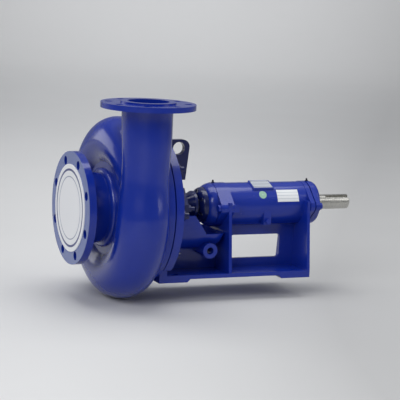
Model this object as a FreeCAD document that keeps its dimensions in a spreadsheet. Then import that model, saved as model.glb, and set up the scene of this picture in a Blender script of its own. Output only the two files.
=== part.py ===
import FreeCAD, Part

import os
import re

import Sketcher

# Single-stage horizontal slurry pump, overhung impeller, foot-mounted bearing frame.
# Millimetres.  The origin is the centre of the suction flange's face, +X runs along the shaft
# to the drive end, +Z is up and the discharge nozzle stands on the -Y side.

Vector = FreeCAD.Vector
doc = FreeCAD.newDocument("SlurryPump")

# ---------------------------------------------------------------- driving dimensions

SIZES = {
    # Suction side
    "suction_flange_od": 279.4,
    "suction_flange_t": 19,
    "suction_pcd": 241.3,
    "suction_hole_d": 22.2,
    "suction_bolts": 8,
    "suction_bore": 150,
    "neck_wall": 12,
    "neck_fillet": 8,
    "face_cover_od": 216,
    "face_cover_t": 2,
    # Discharge side
    "discharge_flange_od": 228.6,
    "discharge_flange_t": 13,
    "discharge_pcd": 190.5,
    "discharge_hole_d": 19,
    "discharge_bolts": 8,
    "discharge_bore": 100,
    "discharge_height": 281,
    "discharge_offset": 160,
    "raised_face_od": 134,
    "raised_face_t": 4,
    "nozzle_wall": 8,
    "nozzle_flare": 4,
    "nozzle_shift": 3,
    # Volute
    "volute_x": 128,
    "volute_r": 161,
    "volute_growth": 4,
    "section_r": 65,
    "section_growth": 0.5,
    "casing_wall": 12,
    "front_wall_x": 84,
    "back_rim": 10,
    "back_flange_od": 372,
    "back_flange_t": 16,
    "opening_step": 4,
    "casing_stud_circle": 304,
    "casing_stud_d": 16,
    "stud_hole_play": 1.5,
    "stud_engagement": 12,
    # Impeller
    "impeller_od": 220,
    "impeller_gap": 4,
    "impeller_eye": 124,
    "chamber_w": 76,
    "chamber_play": 10,
    "shroud_t": 8,
    "vane_t": 10,
    "vane_count": 5,
    "expeller_h": 6,
    "hub_d": 68,
    "hub_nose_l": 18,
    "impeller_nut_l": 16,
    "impeller_nut_flats": 42,
    # Stuffing box
    "gasket_t": 1,
    "cover_t": 14,
    "cover_flange_t": 9,
    "cover_flange_od": 276,
    "locating_play": 0.2,
    "sleeve_t": 8,
    "packing_section": 12,
    "packing_play": 0.3,
    "bush_l": 12,
    "lantern_l": 12,
    "box_wall": 11,
    "gland_nose_in": 10,
    "gland_clear": 0.6,
    "gland_gap": 6,
    "gland_flange_t": 12,
    "gland_half_height": 50,
    "gland_stud_d": 12,
    "gland_stud_spare": 10,
    # Adapter disc, foot and trough
    "rim_gap": 4,
    "disc_t": 20,
    "disc_od": 368,
    "ledge_z": 143,
    "shaft_height": 180,
    "foot_width": 184,
    "trough_r": 85,
    "trough_wall": 8,
    "trough_drop": 27,
    "trough_rim": 14,
    "trough_step": 63,
    "trough_tail_r": 50,
    "trough_bend": 30,
    "rim_l": 74,
    "rim_slope_l": 35,
    "drain_od": 39,
    "drain_start_y": 16,
    "drain_bore": 18,
    "drain_x": 48,
    "drain_z": 105,
    "drain_end_y": 78,
    "gland_access": 28.4,
    # Frame
    "wall_t": 8,
    "web_t": 8,
    "base_t": 10,
    "pad_t": 8,
    "front_pad_l": 76,
    "rear_pad_l": 80,
    "foot_bolt_spacing": 150,
    "foot_bolt_hole": 18,
    "window_h": 60.5,
    "window_front": 31,
    "window_rear": 40,
    "window_sill": 21,
    "window_corner": 10,
    # Bearing housing
    "barrel_od": 110.6,
    "barrel_l": 244,
    "barrel_bore": 80,
    "ear_r": 15,
    "ear_edge": 10.7,
    "ear_bolt_d": 10,
    "ear_t": 12,
    "front_ear_t": 20,
    "front_flange_t": 16,
    "flange_proud": 1.2,
    "ear_sweep": 13,
    "front_cover_neck": 22,
    "front_seat_l": 11,
    "rear_seat_l": 14,
    "rear_wall_in": 15,
    "rear_gap": 3,
    "rear_cover_l": 25,
    "retainer_l": 20,
    "retainer_flange_t": 12,
    "retainer_od": 90,
    "retainer_bolt_circle": 73,
    "retainer_bolt_d": 6,
    "seal_w": 8,
    "seal_section": 8,
    # Shaft and bearings
    "shaft_end_d": 38,
    "shaft_end_l": 103,
    "bearing_bore": 40,
    "bearing_od": 90,
    "front_bearing_w": 23,
    "rear_bearing_w": 36,
    "ring_t": 6,
    "roller_play": 0.15,
    "front_rollers": 12,
    "rear_balls": 10,
    "ball_d": 14.6,
    "roller_l": 14,
    "cage_side": 2.2,
    "cage_t": 4,
    "shoulder_d": 49,
    "impeller_seat_d": 34,
    "thread_d": 24,
    "key_w": 10,
    "key_h": 8,
    "keyway_l": 69,
    "keyway_turn": 36,
    "impeller_key_l": 28,
    "sleeve_gasket_t": 1,
    "keyway_depth": 5,
    "lock_nut_t": 11,
    "lock_washer_t": 1.5,
    "flinger_t": 26,
    "flinger_od": 72,
    # Lug, plate, plug and nipples
    "lug_t": 16,
    "lug_hole_d": 32,
    "lug_hole_x": 53,
    "lug_hole_z": 146,
    "lug_top_z": 168,
    "lug_reach": 82,
    "lug_foot_z": 64,
    "lug_corner": 19,
    "plate_l": 52,
    "plate_w": 34,
    "plate_t": 1,
    "plate_x": 111,
    "plate_tilt": 22,
    "plate_stand": 2,
    "plate_margin": 3,
    "plug_x": 119,
    "plug_z": 37,
    "plug_flats": 12,
    "plug_boss_w": 21,
    "plug_boss_out": 54,
    "nipple_d": 6,
    "nipple_l": 5,
}

# Places along the shaft and heights, each worked out from the sizes it depends on.
PLACES = {
    "casing_back": "volute_x + section_r + back_rim",
    "disc_front": "casing_back + rim_gap",
    "disc_back": "disc_front + disc_t",
    "nozzle_x": "volute_x + nozzle_shift",
    "chamber_front": "front_wall_x + casing_wall",
    "chamber_r": "impeller_od / 2 + chamber_play",
    "opening_r": "chamber_r + opening_step",
    "cover_face": "chamber_front + chamber_w",
    "cover_seat": "casing_back + gasket_t",
    "cover_back": "cover_seat + cover_flange_t",
    "disc_r": "disc_od / 2",
    "barrel_r": "barrel_od / 2",
    "ear_bolt_y": "barrel_r + ear_bolt_d",
    "ear_reach": "ear_bolt_y + ear_edge",
    "impeller_front": "chamber_front + impeller_gap",
    "hub_front": "back_shroud_front - hub_nose_l",
    "shaft_nose": "hub_front - impeller_nut_l",
    "sleeve_front": "impeller_back + sleeve_gasket_t",
    "impeller_back": "cover_face - impeller_gap",
    "expeller_front": "impeller_back - expeller_h",
    "back_shroud_front": "expeller_front - shroud_t",
    "front_shroud_back": "impeller_front + shroud_t",
    "sleeve_r": "bearing_bore / 2 + sleeve_t",
    "packing_r": "sleeve_r + packing_section",
    "box_r": "packing_r + box_wall",
    "box_floor": "cover_face + cover_t",
    "lantern_front": "box_floor + bush_l + packing_section",
    "packing_end": "lantern_front + lantern_l + 3 * packing_section",
    "box_end": "packing_end + gland_nose_in",
    "gland_front": "box_end + gland_gap",
    "gland_back": "gland_front + gland_flange_t",
    "gland_stud_y": "box_r + gland_stud_d / 2 + 3",
    "gland_nut_h": "gland_stud_d * 0.8",
    "gland_stud_end": "gland_back + gland_nut_h + gland_stud_spare",
    "sleeve_back": "gland_stud_end - gland_nut_h / 2",
    "retainer_front": "gland_stud_end + gland_access",
    "retainer_back": "retainer_front + retainer_l",
    "housing_front": "retainer_back + front_cover_neck + front_ear_t",
    "wall_front": "housing_front",
    "wall_back": "wall_front + wall_t",
    "housing_back": "housing_front + barrel_l",
    "rear_wall_back": "housing_back - rear_wall_in",
    "rear_wall_front": "rear_wall_back - wall_t",
    "base_back": "rear_wall_back",
    "front_bearing_x": "housing_front + front_seat_l",
    "front_shoulder": "front_bearing_x + front_bearing_w",
    "rear_bearing_end": "housing_back - rear_seat_l",
    "rear_shoulder": "rear_bearing_end - rear_bearing_w",
    "rear_cover_front": "housing_back + rear_gap",
    "rear_cover_end": "rear_cover_front + rear_cover_l",
    "shaft_end_shoulder": "rear_cover_end + 2",
    "shaft_tip": "rear_cover_end + shaft_end_l",
    "lock_washer_x": "rear_bearing_end",
    "lock_nut_x": "lock_washer_x + lock_washer_t",
    "lock_nut_end": "lock_nut_x + lock_nut_t",
    "flinger_x": "sleeve_back + 2",
    "seal_x": "retainer_back - retainer_flange_t - seal_w / 2",
    "rear_seal_x": "rear_cover_end - seal_w - 2",
    "base_top": "pad_t + base_t - shaft_height",
    "base_under": "pad_t - shaft_height",
    "race_mid_r": "(bearing_bore + bearing_od) / 4",
    "rolling_d": "(bearing_od - bearing_bore) / 2 - 2 * ring_t",
    "window_low": "base_top + window_sill",
    "window_top": "window_low + window_h",
}

sheet = doc.addObject("Spreadsheet::Sheet", "Sizes")
for row, (alias, value) in enumerate(SIZES.items(), start=1):
    sheet.set(f"A{row}", alias)
    sheet.set(f"B{row}", str(value))
    sheet.setAlias(f"B{row}", alias)
doc.recompute()


def full(text):
    """Spell out a size expression in cells of the sheet, with its places filled in."""

    def spell(match):
        word = match.group(0)
        if word in PLACES:
            return "(" + full(PLACES[word]) + ")"
        if word in SIZES:
            return "Sizes." + word
        return word

    return re.sub(r"[a-z][a-z_]*", spell, text)


def num(text):
    """The present value of a size expression."""
    return float(sheet.evalExpression(full(text)))


def bind(thing, prop, text):
    """Tie one property to the sheet, or set it where it is a plain zero."""
    if text == "0":
        return
    thing.setExpression(prop, full(text))


def place(thing, at=("0", "0", "0"), turn=None):
    """Put a piece at (x, y, z), turned by turn = (axis, degrees) about its own origin."""
    if turn is not None:
        thing.Placement = FreeCAD.Placement(Vector(), FreeCAD.Rotation(Vector(*turn[0]), turn[1]))
    for axis, text in zip("xyz", at):
        bind(thing, "Placement.Base." + axis, text)
    return thing


# ---------------------------------------------------------------- modelling helpers

ALONG_X = ((0, 1, 0), 90)
ALONG_MINUS_Y = ((1, 0, 0), 90)
UPRIGHT = None


def body(label, at=("0", "0", "0")):
    """A new part-design body, placed from the sheet."""
    thing = doc.addObject("PartDesign::Body", label)
    thing.Label = label
    return place(thing, at)


def origin_feature(owner, role):
    return [item for item in owner.Origin.OriginFeatures if item.Role == role][0]


def new_sketch(owner, plane, offset="0"):
    """An empty sketch on one of the body's own planes, moved along that plane's normal."""
    sketch = owner.newObject("Sketcher::SketchObject", owner.Label + "_sketch")
    sketch.AttachmentSupport = (origin_feature(owner, plane), [""])
    sketch.MapMode = "FlatFace"
    bind(sketch, "AttachmentOffset.Base.z", offset)
    return sketch


def pin_point(sketch, edge, end, across, up):
    """Hold one end of an edge at (across, up), both size expressions."""
    for kind, axis, text in (("DistanceX", -2, across), ("DistanceY", -1, up)):
        if text == "0":
            sketch.addConstraint(Sketcher.Constraint("PointOnObject", edge, end, axis))
            continue
        index = sketch.addConstraint(Sketcher.Constraint(kind, -1, 1, edge, end, num(text)))
        sketch.setExpression(f"Constraints[{index}]", full(text))


def arc_between(start, end, radius):
    """The short arc from start to end; a positive radius turns left, a negative one right."""
    chord = end - start
    half = chord.Length / 2
    side = Vector(-chord.y, chord.x, 0).normalize()
    reach = max(radius * radius - half * half, 0) ** 0.5
    centre = start + chord * 0.5 + side * (reach if radius > 0 else -reach)
    circle = Part.Circle(centre, Vector(0, 0, 1), abs(radius))
    first, last = (start, end) if radius > 0 else (end, start)
    return Part.ArcOfCircle(circle, circle.parameter(first), circle.parameter(last))


def outline(owner, plane, points, offset="0"):
    """A closed sketch through points (across, up) or (across, up, radius of the arc to it)."""
    sketch = new_sketch(owner, plane, offset)
    corners = [Vector(num(point[0]), num(point[1]), 0) for point in points]
    ends = []
    for index, point in enumerate(points):
        start, end = corners[index - 1], corners[index]
        if len(point) == 2:
            sketch.addGeometry(Part.LineSegment(start, end), False)
            ends.append((1, 2))
        else:
            radius = num(point[2])
            sketch.addGeometry(arc_between(start, end, radius), False)
            ends.append((1, 2) if radius > 0 else (2, 1))
    for index, point in enumerate(points):
        following = (index + 1) % len(points)
        meeting = ("Coincident", index, ends[index][1], following, ends[following][0])
        sketch.addConstraint(Sketcher.Constraint(*meeting))
        pin_point(sketch, index, ends[index][1], point[0], point[1])
        if len(point) == 3:
            number = sketch.addConstraint(Sketcher.Constraint("Radius", index, abs(num(point[2]))))
            sketch.setExpression(f"Constraints[{number}]", full(point[2].lstrip("-")))
    return sketch


def disc_sketch(owner, plane, across, up, radius, offset="0"):
    """A sketch that holds one circle."""
    sketch = new_sketch(owner, plane, offset)
    centre = Vector(num(across), num(up), 0)
    sketch.addGeometry(Part.Circle(centre, Vector(0, 0, 1), num(radius)), False)
    pin_point(sketch, 0, 3, across, up)
    number = sketch.addConstraint(Sketcher.Constraint("Radius", 0, num(radius)))
    sketch.setExpression(f"Constraints[{number}]", full(radius))
    return sketch


def revolve(owner, points, kind="Revolution", offset="0", angle=360):
    """Turn a profile of (x, radius) points about the X axis, adding or cutting."""
    sketch = outline(owner, "XY_Plane", points, offset)
    feature = owner.newObject("PartDesign::" + kind, owner.Label + "_turn")
    feature.Profile = sketch
    feature.ReferenceAxis = (sketch, ["H_Axis"])
    feature.Angle = angle
    return feature


def pad(owner, plane, points, start, length):
    """Add a prism of the outline, from start along the plane's normal."""
    sketch = outline(owner, plane, points, start)
    feature = owner.newObject("PartDesign::Pad", owner.Label + "_pad")
    feature.Profile = sketch
    bind(feature, "Length", length)
    return feature


def pocket(owner, sketch, length):
    """Cut a prism of a sketch, back against the plane's normal."""
    feature = owner.newObject("PartDesign::Pocket", owner.Label + "_pocket")
    feature.Profile = sketch
    bind(feature, "Length", length)
    return feature


def cut(owner, plane, points, start, length):
    """Cut a prism of the outline, from start along the plane's normal."""
    return pocket(owner, outline(owner, plane, points, f"{start} + {length}"), length)


def drill(owner, plane, across, up, radius, start, length):
    """Cut a round hole, from start along the plane's normal."""
    return pocket(owner, disc_sketch(owner, plane, across, up, radius, f"{start} + {length}"), length)


def repeat(owner, features, axis, count, angle=360):
    """Repeat features about one of the body's axes."""
    pattern = owner.newObject("PartDesign::PolarPattern", owner.Label + "_pattern")
    pattern.Originals = features
    pattern.Axis = (origin_feature(owner, axis), [""])
    pattern.Angle = angle
    bind(pattern, "Occurrences", count)
    owner.Tip = pattern
    return pattern


def turned(label, points, at=("0", "0", "0")):
    """A body turned about the X axis from one profile."""
    owner = body(label, at)
    revolve(owner, points)
    return owner


def ring(label, inner, outer, length, at):
    """A plain ring along X."""
    points = [("0", inner), (length, inner), (length, outer), ("0", outer)]
    return turned(label, points, (at, "0", "0"))


def round_bar(label, radius, length, at, turn=ALONG_X):
    thing = doc.addObject("Part::Cylinder", label)
    bind(thing, "Radius", radius)
    bind(thing, "Height", length)
    return place(thing, at, turn)


def block(label, length, width, height, at):
    thing = doc.addObject("Part::Box", label)
    bind(thing, "Length", length)
    bind(thing, "Width", width)
    bind(thing, "Height", height)
    return place(thing, at)


def hexagon(label, flats, height, at, turn=ALONG_X):
    """A six-sided prism, given its width across flats."""
    thing = doc.addObject("Part::Prism", label)
    thing.Polygon = 6
    bind(thing, "Circumradius", f"({flats}) / sqrt(3)")
    bind(thing, "Height", height)
    return place(thing, at, turn)


def joined(label, pieces):
    thing = doc.addObject("Part::MultiFuse", label)
    thing.Label = label
    thing.Shapes = pieces
    return thing


def less(label, base, tool):
    thing = doc.addObject("Part::Cut", label)
    thing.Label = label
    thing.Base = base
    thing.Tool = tool
    return thing


def group(label, pieces):
    """Like pieces that stay separate solids in one node."""
    thing = doc.addObject("Part::Compound", label)
    thing.Label = label
    thing.Links = pieces
    return thing


def round_about(circle, degrees):
    """(y, z) of a place on a circle about the shaft, counted from the top towards +Y."""
    return f"({circle}) * sin({degrees})", f"({circle}) * cos({degrees})"


def tilted(tilt, out, along):
    """(y, z) of a point out from the shaft's line and along, turned from the top towards -Y."""
    across = f"({along}) * cos({tilt}) - ({out}) * sin({tilt})"
    up = f"({along}) * sin({tilt}) + ({out}) * cos({tilt})"
    return across, up


def tilted_block(label, length, width, height, x, out, tilt):
    """A block that stands out from the shaft's line at an angle from the top towards -Y."""
    thing = block(label, length, width, height, (x,) + tilted(tilt, out, f"-({width}) / 2"))
    turn = FreeCAD.Rotation(Vector(1, 0, 0), num(tilt))
    thing.Placement = FreeCAD.Placement(thing.Placement.Base, turn)
    bind(thing, "Placement.Rotation.Angle", tilt)
    return thing


def hex_bolt(label, thread, grip, at, points_back=False):
    """A hex-head bolt along X: its head in front of at, its shank behind, or the other way."""
    x, y, z = at
    head_h = f"{thread} * 0.7"
    head_x = x if points_back else f"{x} - {head_h}"
    shank_x = f"{x} - ({grip})" if points_back else x
    head = hexagon(label + "_head", f"{thread} * 1.6", head_h, (head_x, y, z))
    shank = round_bar(label + "_shank", f"{thread} / 2", grip, (shank_x, y, z))
    return joined(label, [head, shank])


NODES = []


def keep(thing):
    """Enter a finished sub-part in the assembly."""
    NODES.append(thing)
    return thing


# ---------------------------------------------------------------- volute casing

SPIRAL_STATIONS = (-70, -45, -20, 10, 45, 80, 115, 150)
SPIRAL_END_STATIONS = (150, 180, 210, 240, 270)


def spiral_share(degrees):
    """How full the volute's section is: it grows out of the nozzle and is whole past the top."""
    before_full = max(20 - degrees, 0) / 90
    return round(1 - 0.36 * before_full**2, 4)


def loft_ring(label, centre, radius, degrees):
    """A circle across the flow, at an angle counted from the top towards +Y."""
    circle = doc.addObject("Part::Circle", label)
    bind(circle, "Radius", radius)
    return place(circle, centre, ((1, 0, 0), 90 - degrees))


def spiral_ring(label, degrees, inset):
    """One section of the spiral; inset is the wall taken off for the waterway."""
    share = spiral_share(degrees)
    section = f"(section_r + section_growth * {degrees} / 360) * {share}"
    centre = f"volute_r + volute_growth * {degrees} / 360 - (1 - {share}) * section_r / 2"
    return loft_ring(label, ("volute_x",) + round_about(centre, degrees), f"{section} - {inset}", degrees)


def loft(label, rings):
    thing = doc.addObject("Part::Loft", label)
    thing.Sections = rings
    thing.Solid = True
    thing.Ruled = False
    return thing


def flow_path(label, inset, nozzle_r, start):
    """The tube round the impeller and up the nozzle, as two lofts that share a section."""
    early = [spiral_ring(label + "_early", angle, inset) for angle in SPIRAL_STATIONS if angle >= start]
    late = [spiral_ring(label + "_late", angle, inset) for angle in SPIRAL_END_STATIONS]
    rising = f"({nozzle_r}) + ((section_r + section_growth * 0.75 - {inset}) - ({nozzle_r})) * 0.2"
    neck_z = "discharge_height * 0.45"
    top_z = "discharge_height - raised_face_t - discharge_flange_t / 2"
    rise_at = ("volute_x + nozzle_shift / 2", "-discharge_offset", f"{neck_z} / 2")
    late.append(loft_ring(label + "_rise", rise_at, rising, 270))
    late.append(loft_ring(label + "_waist", ("nozzle_x", "-discharge_offset", neck_z), nozzle_r, 270))
    if inset == "0":
        upper_at = ("nozzle_x", "-discharge_offset", f"{neck_z} * 1.5")
        late.append(loft_ring(label + "_upper", upper_at, f"{nozzle_r} + nozzle_flare * 0.6", 270))
        top_at = ("nozzle_x", "-discharge_offset", top_z)
        late.append(loft_ring(label + "_top", top_at, f"{nozzle_r} + nozzle_flare", 270))
    return [loft(label + "_round", early), loft(label + "_out", late)]


casing_turned = turned(
    "casing_turned",
    [
        ("0", "suction_bore / 2"),
        ("0", "suction_flange_od / 2"),
        ("suction_flange_t", "suction_flange_od / 2"),
        ("suction_flange_t", "suction_bore / 2 + neck_wall + neck_fillet"),
        ("suction_flange_t + neck_fillet", "suction_bore / 2 + neck_wall", "neck_fillet"),
        ("front_wall_x - casing_wall", "suction_bore / 2 + neck_wall"),
        ("front_wall_x", "suction_bore / 2 + neck_wall + casing_wall", "-casing_wall"),
        ("front_wall_x", "volute_r - section_r * 0.55"),
        ("volute_x", "volute_r - section_r * 0.4"),
        ("casing_back - back_flange_t", "volute_r - section_r * 0.3"),
        ("casing_back - back_flange_t", "back_flange_od / 2"),
        ("casing_back", "back_flange_od / 2"),
        ("casing_back", "suction_bore / 2"),
    ],
)
discharge_flange = round_bar(
    "discharge_flange",
    "discharge_flange_od / 2",
    "discharge_flange_t",
    ("nozzle_x", "-discharge_offset", "discharge_height - raised_face_t - discharge_flange_t"),
    UPRIGHT,
)
raised_face = round_bar(
    "raised_face",
    "raised_face_od / 2",
    "raised_face_t + 1",
    ("nozzle_x", "-discharge_offset", "discharge_height - raised_face_t - 1"),
    UPRIGHT,
)
casing_outside = joined(
    "casing_outside",
    [casing_turned, discharge_flange, raised_face] + flow_path(
        "outside", "0", "discharge_bore / 2 + nozzle_wall", -90
    ),
)

chamber = turned(
    "impeller_chamber",
    [
        ("-1", "0"),
        ("-1", "suction_bore / 2"),
        ("chamber_front", "suction_bore / 2"),
        ("chamber_front", "chamber_r"),
        ("cover_face", "chamber_r"),
        ("cover_face", "opening_r"),
        ("casing_back + 1", "opening_r"),
        ("casing_back + 1", "0"),
    ],
)
discharge_way = round_bar(
    "discharge_way",
    "discharge_bore / 2",
    "discharge_height * 0.55 + 1",
    ("nozzle_x", "-discharge_offset", "discharge_height * 0.45"),
    UPRIGHT,
)
suction_holes = [
    round_bar(
        "suction_hole",
        "suction_hole_d / 2",
        "suction_flange_t + 2",
        ("-1",) + round_about("suction_pcd / 2", f"(360 / suction_bolts) * {number} + 180 / suction_bolts"),
    )
    for number in range(int(num("suction_bolts")))
]
discharge_holes = []
for number in range(int(num("discharge_bolts"))):
    turn = f"(360 / discharge_bolts) * {number} + 180 / discharge_bolts"
    hole_at = (
        f"nozzle_x + discharge_pcd / 2 * cos({turn})",
        f"discharge_pcd / 2 * sin({turn}) - discharge_offset",
        "discharge_height - raised_face_t - discharge_flange_t - 1",
    )
    hole = round_bar(
        "discharge_hole", "discharge_hole_d / 2", "discharge_flange_t + raised_face_t", hole_at, UPRIGHT
    )
    discharge_holes.append(hole)

# Studs at the eight-hole circle's places, less the top and bottom ones, which the lug and web take.
STUD_ANGLES = (45, 90, 135, 225, 270, 315)
stud_holes = [
    round_bar(
        "casing_stud_hole",
        "casing_stud_d / 2",
        "stud_engagement + 1",
        ("casing_back - stud_engagement",) + round_about("casing_stud_circle / 2", f"{angle}"),
    )
    for angle in STUD_ANGLES
]
casing_cast = casing_outside
for tool in [chamber, discharge_way] + flow_path("inside", "casing_wall", "discharge_bore / 2", -20):
    casing_cast = less("casing_cast", casing_cast, tool)
casing_holes = group("casing_holes", suction_holes + discharge_holes + stud_holes)
volute_casing = keep(less("volute_casing", casing_cast, casing_holes))

casing_studs = []
casing_nuts = []
for angle in STUD_ANGLES:
    y, z = round_about("casing_stud_circle / 2", f"{angle}")
    stud_l = "stud_engagement + disc_back - casing_back + casing_stud_d * 1.5"
    casing_studs.append(
        round_bar("casing_stud", "casing_stud_d / 2", stud_l, ("casing_back - stud_engagement", y, z))
    )
    nut_blank = hexagon(
        "casing_nut_blank", "casing_stud_d * 1.5", "casing_stud_d * 0.85", ("disc_back", y, z)
    )
    nut_bore = round_bar("casing_nut_bore", "casing_stud_d / 2", "casing_stud_d", ("disc_back", y, z))
    casing_nuts.append(less("casing_nut", nut_blank, nut_bore))
keep(group("casing_studs", casing_studs))
keep(group("casing_nuts", casing_nuts))

keep(
    turned(
        "suction_face_cover",
        [
            ("0", "0"),
            ("face_cover_t", "0"),
            ("face_cover_t", "face_cover_od / 2"),
            ("0", "face_cover_od / 2"),
        ],
        ("-face_cover_t", "0", "0"),
    )
)

# ---------------------------------------------------------------- impeller

# Closed impeller: hub and back shroud, backward-curved vanes, front shroud with the eye,
# and straight expeller ribs behind the back shroud.
VANE_TIP_TURN = 84
VANE_TIP_SPREAD = 11
impeller = body("impeller")
revolve(
    impeller,
    [
        ("hub_front", "impeller_seat_d / 2"),
        ("hub_front", "hub_d * 0.38"),
        ("back_shroud_front", "hub_d * 0.38 + hub_nose_l", "-hub_nose_l * 1.3"),
        ("back_shroud_front", "impeller_od / 2"),
        ("expeller_front", "impeller_od / 2"),
        ("expeller_front", "hub_d / 2"),
        ("impeller_back", "hub_d / 2"),
        ("impeller_back", "impeller_seat_d / 2"),
    ],
)
vane = pad(
    impeller,
    "YZ_Plane",
    [
        ("0", "hub_d * 0.5 + vane_t"),
        (
            f"-impeller_od / 2 * sin({VANE_TIP_TURN})",
            f"impeller_od / 2 * cos({VANE_TIP_TURN})",
            "impeller_od * 0.32",
        ),
        (
            f"-impeller_od / 2 * sin({VANE_TIP_TURN + VANE_TIP_SPREAD})",
            f"impeller_od / 2 * cos({VANE_TIP_TURN + VANE_TIP_SPREAD})",
        ),
        ("0", "hub_d * 0.5", "-impeller_od * 0.31"),
    ],
    "front_shroud_back",
    "back_shroud_front - front_shroud_back",
)
repeat(impeller, [vane], "X_Axis", "vane_count")
rib = pad(
    impeller,
    "YZ_Plane",
    [
        ("-vane_t * 0.4", "hub_d * 0.4"),
        ("vane_t * 0.4", "hub_d * 0.4"),
        ("vane_t * 0.4", "impeller_od / 2 - 1"),
        ("-vane_t * 0.4", "impeller_od / 2 - 1"),
    ],
    "expeller_front",
    "expeller_h",
)
repeat(impeller, [rib], "X_Axis", "vane_count")
revolve(
    impeller,
    [
        ("impeller_front", "impeller_eye / 2"),
        ("front_shroud_back", "impeller_eye / 2"),
        ("front_shroud_back", "impeller_od / 2"),
        ("impeller_front", "impeller_od / 2"),
    ],
)
# The inner bore and the key's slot, cut through the vane roots as well.
revolve(
    impeller,
    [
        ("hub_front - 1", "0"),
        ("hub_front - 1", "impeller_seat_d / 2"),
        ("impeller_back + 1", "impeller_seat_d / 2"),
        ("impeller_back + 1", "0"),
    ],
    "Groove",
)
key_slot = [
    ("impeller_back - impeller_key_l - 4", "-key_w / 2"),
    ("impeller_back - 4", "-key_w / 2"),
    ("impeller_back - 4", "key_w / 2"),
    ("impeller_back - impeller_key_l - 4", "key_w / 2"),
]
cut(impeller, "XY_Plane", key_slot, "impeller_seat_d / 2 - keyway_depth", "key_h")
keep(impeller)

impeller_nut = body("impeller_nut")
pad(
    impeller_nut,
    "YZ_Plane",
    [
        (
            f"impeller_nut_flats / sqrt(3) * cos({60 * corner})",
            f"impeller_nut_flats / sqrt(3) * sin({60 * corner})",
        )
        for corner in range(6)
    ],
    "shaft_nose",
    "impeller_nut_l",
)
drill(impeller_nut, "YZ_Plane", "0", "0", "thread_d / 2", "shaft_nose - 1", "impeller_nut_l + 2")
keep(impeller_nut)

keep(
    block(
        "impeller_key",
        "impeller_key_l",
        "key_w",
        "key_h",
        ("impeller_back - impeller_key_l - 4", "-key_w / 2", "impeller_seat_d / 2 - keyway_depth"),
    )
)

# ---------------------------------------------------------------- shaft and sleeve

turned_shaft = body("turned_shaft")
revolve(
    turned_shaft,
    [
        ("shaft_nose", "0"),
        ("shaft_nose", "thread_d / 2"),
        ("hub_front", "thread_d / 2"),
        ("hub_front", "impeller_seat_d / 2"),
        ("impeller_back", "impeller_seat_d / 2"),
        ("impeller_back", "bearing_bore / 2"),
        ("front_shoulder", "bearing_bore / 2"),
        ("front_shoulder", "shoulder_d / 2"),
        ("rear_shoulder", "shoulder_d / 2"),
        ("rear_shoulder", "bearing_bore / 2"),
        ("shaft_end_shoulder", "bearing_bore / 2"),
        ("shaft_end_shoulder", "shaft_end_d / 2"),
        ("shaft_tip - 2", "shaft_end_d / 2"),
        ("shaft_tip", "shaft_end_d / 2 - 2"),
        ("shaft_tip", "0"),
    ],
)
cut(turned_shaft, "XY_Plane", key_slot, "impeller_seat_d / 2 - keyway_depth", "key_h")
drive_keyway = tilted_block(
    "drive_keyway", "keyway_l + 1", "key_w", "key_h", "shaft_tip - keyway_l", "shaft_end_d / 2 - keyway_depth", "keyway_turn"
)
keep(less("shaft", turned_shaft, drive_keyway))

keep(ring("sleeve_gasket", "bearing_bore / 2", "sleeve_r", "sleeve_gasket_t", "impeller_back"))
keep(ring("shaft_sleeve", "bearing_bore / 2", "sleeve_r", "sleeve_back - sleeve_front", "sleeve_front"))
keep(
    turned(
        "shaft_flinger",
        [
            ("0", "bearing_bore / 2"),
            ("0", "bearing_bore / 2 + 5"),
            ("flinger_t * 0.75", "flinger_od / 2"),
            ("flinger_t", "flinger_od / 2"),
            ("flinger_t", "bearing_bore / 2"),
        ],
        ("flinger_x", "0", "0"),
    )
)

# ---------------------------------------------------------------- stuffing box

box_ear = [
    ("-(gland_stud_y + gland_stud_d)", "-gland_stud_d"),
    ("gland_stud_y + gland_stud_d", "-gland_stud_d"),
    ("gland_stud_y + gland_stud_d", "gland_stud_d"),
    ("-(gland_stud_y + gland_stud_d)", "gland_stud_d"),
]
cover = body("stuffing_box_cover")
revolve(
    cover,
    [
        ("cover_face", "0"),
        ("cover_face", "opening_r - locating_play"),
        ("cover_seat", "opening_r - locating_play"),
        ("cover_seat", "cover_flange_od / 2"),
        ("cover_back", "cover_flange_od / 2"),
        ("cover_back", "opening_r - cover_t"),
        ("box_floor", "opening_r - cover_t * 1.6"),
        ("box_floor", "box_r"),
        ("box_end", "box_r"),
        ("box_end", "0"),
    ],
)
pad(cover, "YZ_Plane", box_ear, "box_end - gland_flange_t", "gland_flange_t")
revolve(
    cover,
    [
        ("cover_face - 1", "0"),
        ("cover_face - 1", "sleeve_r + 1"),
        ("box_floor", "sleeve_r + 1"),
        ("box_floor", "packing_r"),
        ("box_end + 1", "packing_r"),
        ("box_end + 1", "0"),
    ],
    "Groove",
)
for side in ("-", ""):
    stud_y = f"{side}(gland_stud_y)"
    drill(
        cover, "YZ_Plane", stud_y, "0", "gland_stud_d / 2", "box_end - gland_flange_t", "gland_flange_t + 1"
    )
keep(cover)
keep(ring("casing_gasket", "opening_r", "cover_flange_od / 2", "gasket_t", "casing_back"))

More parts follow.
